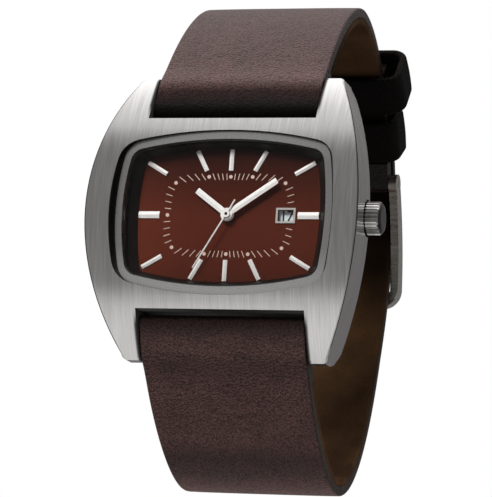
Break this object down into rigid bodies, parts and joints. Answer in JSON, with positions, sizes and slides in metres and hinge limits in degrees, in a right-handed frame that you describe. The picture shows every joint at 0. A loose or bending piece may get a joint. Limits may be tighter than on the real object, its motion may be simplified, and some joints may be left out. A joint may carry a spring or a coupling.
{
  "type": "wristwatch",
  "caption": "Quartz wristwatch with a wide TV-shaped dial in an arched steel case, a date window, and a buckled wide leather strap.",
  "frame": {"origin": "middle of the watch's footprint, at the lowest point of the buckle that it stands on", "axes": "+X to 3 o'clock and the crown, +Y to 12 o'clock, +Z out of the dial, so the dial faces up"},
  "size_m": [0.0412, 0.0714, 0.0599],
  "materials": {
    "case_steel": "brushed",
    "satin_steel": "satin",
    "dark_steel": "dark brushed",
    "silver_hands": "brushed silver",
    "crystal_glass": "polished",
    "black_rubber": "matte",
    "flange_black": "satin black",
    "dial_brown": "brown sunray",
    "date_white": "satin white",
    "brass": "fine",
    "holder_plastic": "moulded",
    "board_green": "lacquered",
    "copper_coil": "wound",
    "nickel": "nickel",
    "leather_brown": "smooth, fine grain",
    "lining_brown": "suede",
    "keeper_leather": "smooth dark"
  },
  "bodies": {
    "case": {"case_middle": "case_steel", "bezel_ring": "satin_steel", "crystal": "crystal_glass", "crystal_gasket": "black_rubber", "case_back": "case_steel", "case_back_gasket": "black_rubber", "case_back_screws": "dark_steel", "crown_tube": "dark_steel", "dial": "dial_brown", "dial_flange": "flange_black", "hour_markers": "silver_hands", "date_window_frame": "silver_hands", "movement_ring": "holder_plastic", "main_plate": "brass", "stator": "nickel", "coil": "copper_coil", "circuit_board": "board_green", "quartz_can": "nickel", "battery": "nickel", "battery_clip": "brass", "train_bridge": "nickel", "movement_screws": "dark_steel", "spring_bar_12": "nickel", "spring_bar_6": "nickel", "strap_12_leather": "leather_brown", "strap_12_lining": "lining_brown", "strap_6_leather": "leather_brown", "strap_6_lining": "lining_brown", "fixed_keeper": "keeper_leather", "buckle_bar": "nickel"},
    "seconds": {"seconds_hand": "silver_hands", "fourth_wheel": "brass"},
    "minutes": {"minute_hand": "silver_hands", "center_wheel": "brass"},
    "hours": {"hour_hand": "silver_hands", "hour_wheel": "brass"},
    "third": {"third_wheel": "brass"},
    "minute_work": {"minute_wheel": "brass"},
    "intermediate": {"intermediate_wheel": "brass"},
    "rotor": {"rotor": "nickel"},
    "date_idler": {"date_idler": "brass"},
    "date_driver": {"date_driving_wheel": "brass"},
    "date": {"date_disc": "date_white"},
    "clutch": {"clutch_wheel": "nickel"},
    "crown": {"crown": "satin_steel", "crown_gasket": "black_rubber", "stem": "nickel"},
    "keeper": {"free_keeper": "keeper_leather"},
    "buckle": {"buckle_frame": "dark_steel"},
    "tongue": {"buckle_tongue": "dark_steel"}
  },
  "joints": [
    {"name": "seconds_turn", "type": "hinge", "parent": "case", "child": "seconds", "pos_m": [-0.00108, -0.00017, 0.05644], "axis": [0, 0, -1], "continuous": true},
    {"name": "minutes_turn", "type": "hinge", "parent": "case", "child": "minutes", "pos_m": [-0.00108, -0.00017, 0.05624], "axis": [0, 0, -1], "continuous": true},
    {"name": "hours_turn", "type": "hinge", "parent": "case", "child": "hours", "pos_m": [-0.00108, -0.00017, 0.05594], "axis": [0, 0, -1], "continuous": true},
    {"name": "third_turn", "type": "hinge", "parent": "case", "child": "third", "pos_m": [0.00102, -0.00228, 0.05244], "axis": [0, 0, -1], "continuous": true},
    {"name": "minute_work_turn", "type": "hinge", "parent": "case", "child": "minute_work", "pos_m": [-0.0038, -0.00144, 0.05444], "axis": [0, 0, -1], "continuous": true},
    {"name": "intermediate_turn", "type": "hinge", "parent": "case", "child": "intermediate", "pos_m": [0.00004, 0.00177, 0.05244], "axis": [0, 0, -1], "continuous": true},
    {"name": "rotor_turn", "type": "hinge", "parent": "case", "child": "rotor", "pos_m": [0.00028, 0.0031, 0.05244], "axis": [0, 0, -1], "continuous": true},
    {"name": "date_idler_turn", "type": "hinge", "parent": "case", "child": "date_idler", "pos_m": [-0.00183, 0.00408, 0.05444], "axis": [0, 0, -1], "continuous": true},
    {"name": "date_driver_turn", "type": "hinge", "parent": "case", "child": "date_driver", "pos_m": [0.00014, 0.0048, 0.05444], "axis": [0, 0, -1], "continuous": true},
    {"name": "date_turn", "type": "hinge", "parent": "case", "child": "date", "pos_m": [-0.00108, -0.00017, 0.05474], "axis": [0, 0, -1], "continuous": true},
    {"name": "crown_turn", "type": "hinge", "parent": "case", "child": "clutch", "pos_m": [0.01692, -0.00017, 0.05394], "axis": [1, 0, 0], "continuous": true},
    {"name": "crown_pull", "type": "slide", "parent": "clutch", "child": "crown", "axis": [1, 0, 0], "range_m": [0, 0.0012]},
    {"name": "keeper_slide", "type": "hinge", "parent": "case", "child": "keeper", "pos_m": [-0.00108, 0.00585, 0.03388], "axis": [1, 0, 0], "range_deg": [0, 5.6]},
    {"name": "buckle_swing", "type": "hinge", "parent": "case", "child": "buckle", "pos_m": [-0.00108, 0.01518, 0.00619], "axis": [1, 0, 0], "range_deg": [0, 12]},
    {"name": "tongue_swing", "type": "hinge", "parent": "buckle", "child": "tongue", "pos_m": [-0.00108, 0.01518, 0.00619], "axis": [1, 0, 0], "range_deg": [0, 14]}
  ],
  "couplings": [
    {"joint": "minutes_turn", "follows": "seconds_turn", "ratio": 0.016667},
    {"joint": "hours_turn", "follows": "seconds_turn", "ratio": 0.0013889},
    {"joint": "third_turn", "follows": "seconds_turn", "ratio": -0.125},
    {"joint": "minute_work_turn", "follows": "seconds_turn", "ratio": -0.0055556},
    {"joint": "intermediate_turn", "follows": "seconds_turn", "ratio": -7.5},
    {"joint": "rotor_turn", "follows": "seconds_turn", "ratio": 30},
    {"joint": "date_idler_turn", "follows": "seconds_turn", "ratio": -0.0017361},
    {"joint": "date_driver_turn", "follows": "seconds_turn", "ratio": 0.00069444}
  ]
}
